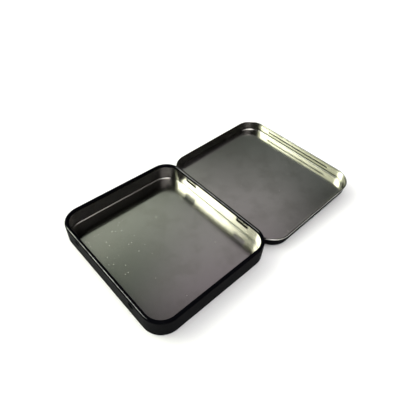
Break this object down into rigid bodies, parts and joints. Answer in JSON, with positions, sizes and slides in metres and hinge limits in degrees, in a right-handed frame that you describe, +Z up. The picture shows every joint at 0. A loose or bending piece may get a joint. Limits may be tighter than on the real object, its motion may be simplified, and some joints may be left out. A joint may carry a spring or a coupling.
{
  "type": "tobacco tin",
  "caption": "Flat pocket tobacco tin of thin tinplate, black lacquered outside and bare inside, with a shallow snap lid on a curled tongue hinge.",
  "frame": {"origin": "middle of the flat underside of the base tray", "axes": "+X along the hinge, +Y from the base tray towards the hinge and the opened lid, +Z up, out of the open tray"},
  "size_m": [0.0896, 0.1583, 0.0122],
  "materials": {
    "tray_sheet": "thin tinplate with glossy black lacquer outside and on the rim's curl, and bare semi-gloss tin inside",
    "lid_sheet": "thin tinplate with glossy black lacquer outside, and bare semi-gloss tin inside and on the rolled edge"
  },
  "bodies": {
    "base": {"base_tray": "tray_sheet"},
    "lid": {"lid": "lid_sheet"}
  },
  "joints": [
    {"name": "lid_hinge", "type": "hinge", "parent": "base", "child": "lid", "pos_m": [0, 0.03959, 0.00649], "axis": [1, 0, 0], "range_deg": [0, 177.7]}
  ]
}
